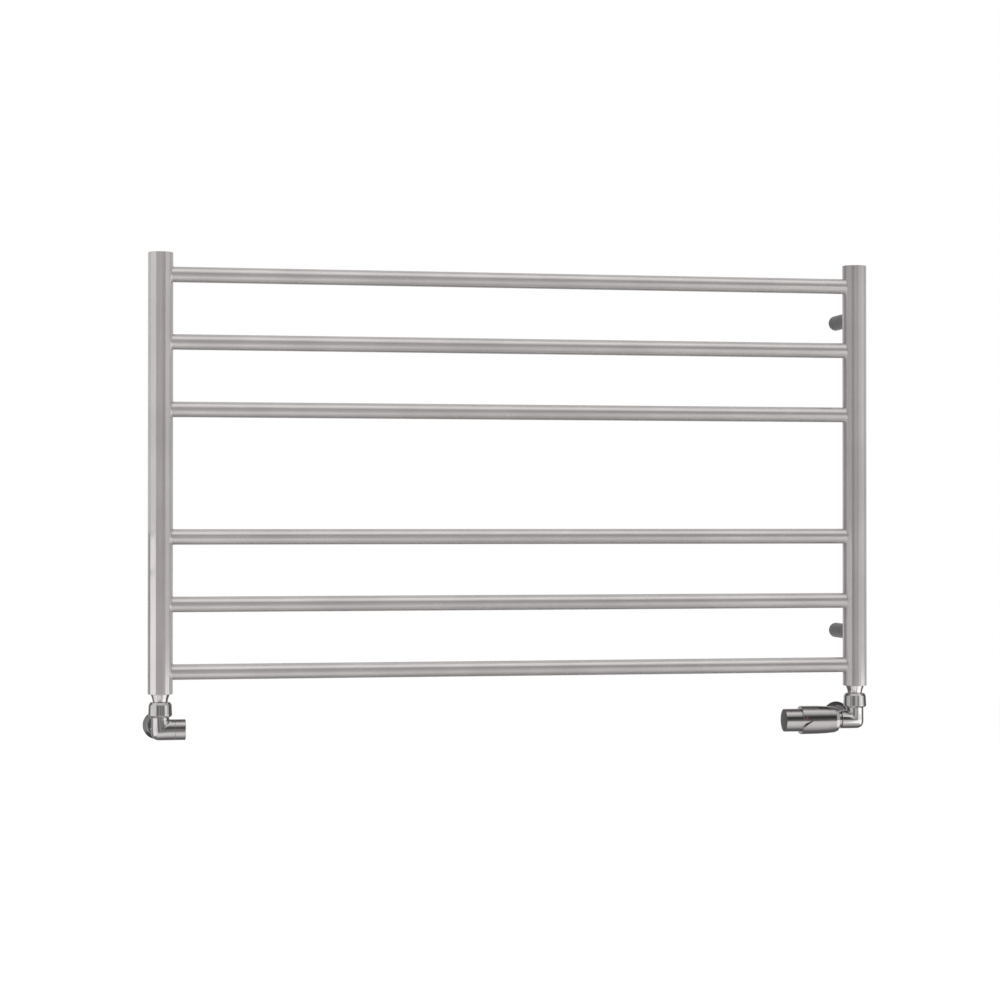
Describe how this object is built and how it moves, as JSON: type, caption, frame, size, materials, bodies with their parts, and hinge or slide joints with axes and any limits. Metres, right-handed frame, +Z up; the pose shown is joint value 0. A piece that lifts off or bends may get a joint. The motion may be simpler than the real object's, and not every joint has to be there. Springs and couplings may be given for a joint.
{
  "type": "towel warmer rack",
  "caption": "Wall-hung ladder towel rail of round steel tubes with a lockshield valve and a thermostatic valve, for warming and drying towels.",
  "frame": {"origin": "on the wall, in the middle of the four bracket feet", "axes": "+X along the rails towards the thermostatic valve's side, +Y into the wall, +Z up; the front faces -Y"},
  "size_m": [1.206, 0.1237, 0.7868],
  "materials": {
    "stainless": "polished",
    "chrome": "bright",
    "dark_steel": "satin dark grey",
    "brass": "turned",
    "rubber": "matt",
    "spring_steel": "drawn wire",
    "dark_plastic": "moulded",
    "red_enamel": "gloss"
  },
  "bodies": {
    "frame": {"head_carrier": "chrome", "head_sleeve": "chrome", "index_mark": "red_enamel", "left_air_vent": "chrome", "left_bottom_boss": "stainless", "left_compression_nut": "chrome", "left_olive": "brass", "left_rosette": "dark_steel", "left_tail_collar": "chrome", "left_tail_seal": "rubber", "left_top_cap": "stainless", "left_union_nut": "chrome", "left_union_tail": "chrome", "left_upright": "stainless", "left_valve_body": "chrome", "left_wall_pipe": "chrome", "lockshield_gland": "brass", "lockshield_seal": "rubber", "lower_left_bracket_post": "dark_steel", "lower_left_grub_screw": "stainless", "lower_left_wall_foot": "stainless", "lower_right_bracket_post": "dark_steel", "lower_right_grub_screw": "stainless", "lower_right_wall_foot": "stainless", "rail_1": "stainless", "rail_2": "stainless", "rail_3": "stainless", "rail_4": "stainless", "rail_5": "stainless", "rail_6": "stainless", "return_spring": "spring_steel", "right_air_vent": "chrome", "right_bottom_boss": "stainless", "right_compression_nut": "chrome", "right_olive": "brass", "right_rosette": "dark_steel", "right_tail_collar": "chrome", "right_tail_seal": "rubber", "right_top_cap": "stainless", "right_union_nut": "chrome", "right_union_tail": "chrome", "right_upright": "stainless", "right_valve_body": "chrome", "right_wall_pipe": "chrome", "upper_left_bracket_post": "dark_steel", "upper_left_grub_screw": "stainless", "upper_left_wall_foot": "stainless", "upper_right_bracket_post": "dark_steel", "upper_right_grub_screw": "stainless", "upper_right_wall_foot": "stainless", "valve_insert": "brass"},
    "left_bleed_screw": {"left_bleed_screw": "chrome"},
    "right_bleed_screw": {"right_bleed_screw": "chrome"},
    "lockshield_cap": {"lockshield_cap": "chrome"},
    "lockshield_spindle": {"lockshield_spindle": "brass"},
    "lockshield_cone": {"lockshield_cone": "brass"},
    "dial": {"head_dial": "chrome", "dial_end_cap": "dark_plastic"},
    "plunger": {"valve_plunger": "rubber", "sensor_capsule": "brass"}
  },
  "joints": [
    {"name": "left_bleed_turn", "type": "hinge", "parent": "frame", "child": "left_bleed_screw", "pos_m": [-0.58, -0.07, 0.338], "axis": [0, 1, 0], "range_deg": [0, 360]},
    {"name": "right_bleed_turn", "type": "hinge", "parent": "frame", "child": "right_bleed_screw", "pos_m": [0.58, -0.07, 0.338], "axis": [0, 1, 0], "range_deg": [0, 360]},
    {"name": "lockshield_cap_pull", "type": "slide", "parent": "frame", "child": "lockshield_cap", "axis": [1, 0, 0], "range_m": [0, 0.02]},
    {"name": "lockshield_spindle_turn", "type": "hinge", "parent": "frame", "child": "lockshield_spindle", "pos_m": [-0.58, -0.1, -0.41], "axis": [1, 0, 0], "range_deg": [-576, 576]},
    {"name": "lockshield_cone_travel", "type": "slide", "parent": "frame", "child": "lockshield_cone", "axis": [1, 0, 0], "range_m": [-0.0016, 0.0016]},
    {"name": "dial_turn", "type": "hinge", "parent": "frame", "child": "dial", "pos_m": [0.58, -0.1, -0.41], "axis": [-1, 0, 0], "range_deg": [-150, 150]},
    {"name": "plunger_travel", "type": "slide", "parent": "frame", "child": "plunger", "axis": [-1, 0, 0], "range_m": [-0.00075, 0.00075], "deforming": ["return_spring"]}
  ],
  "couplings": [
    {"joint": "lockshield_spindle_turn", "follows": "lockshield_cone_travel", "rad_per_m": 6283.2},
    {"joint": "plunger_travel", "follows": "dial_turn", "m_per_rad": 0.00028648}
  ]
}
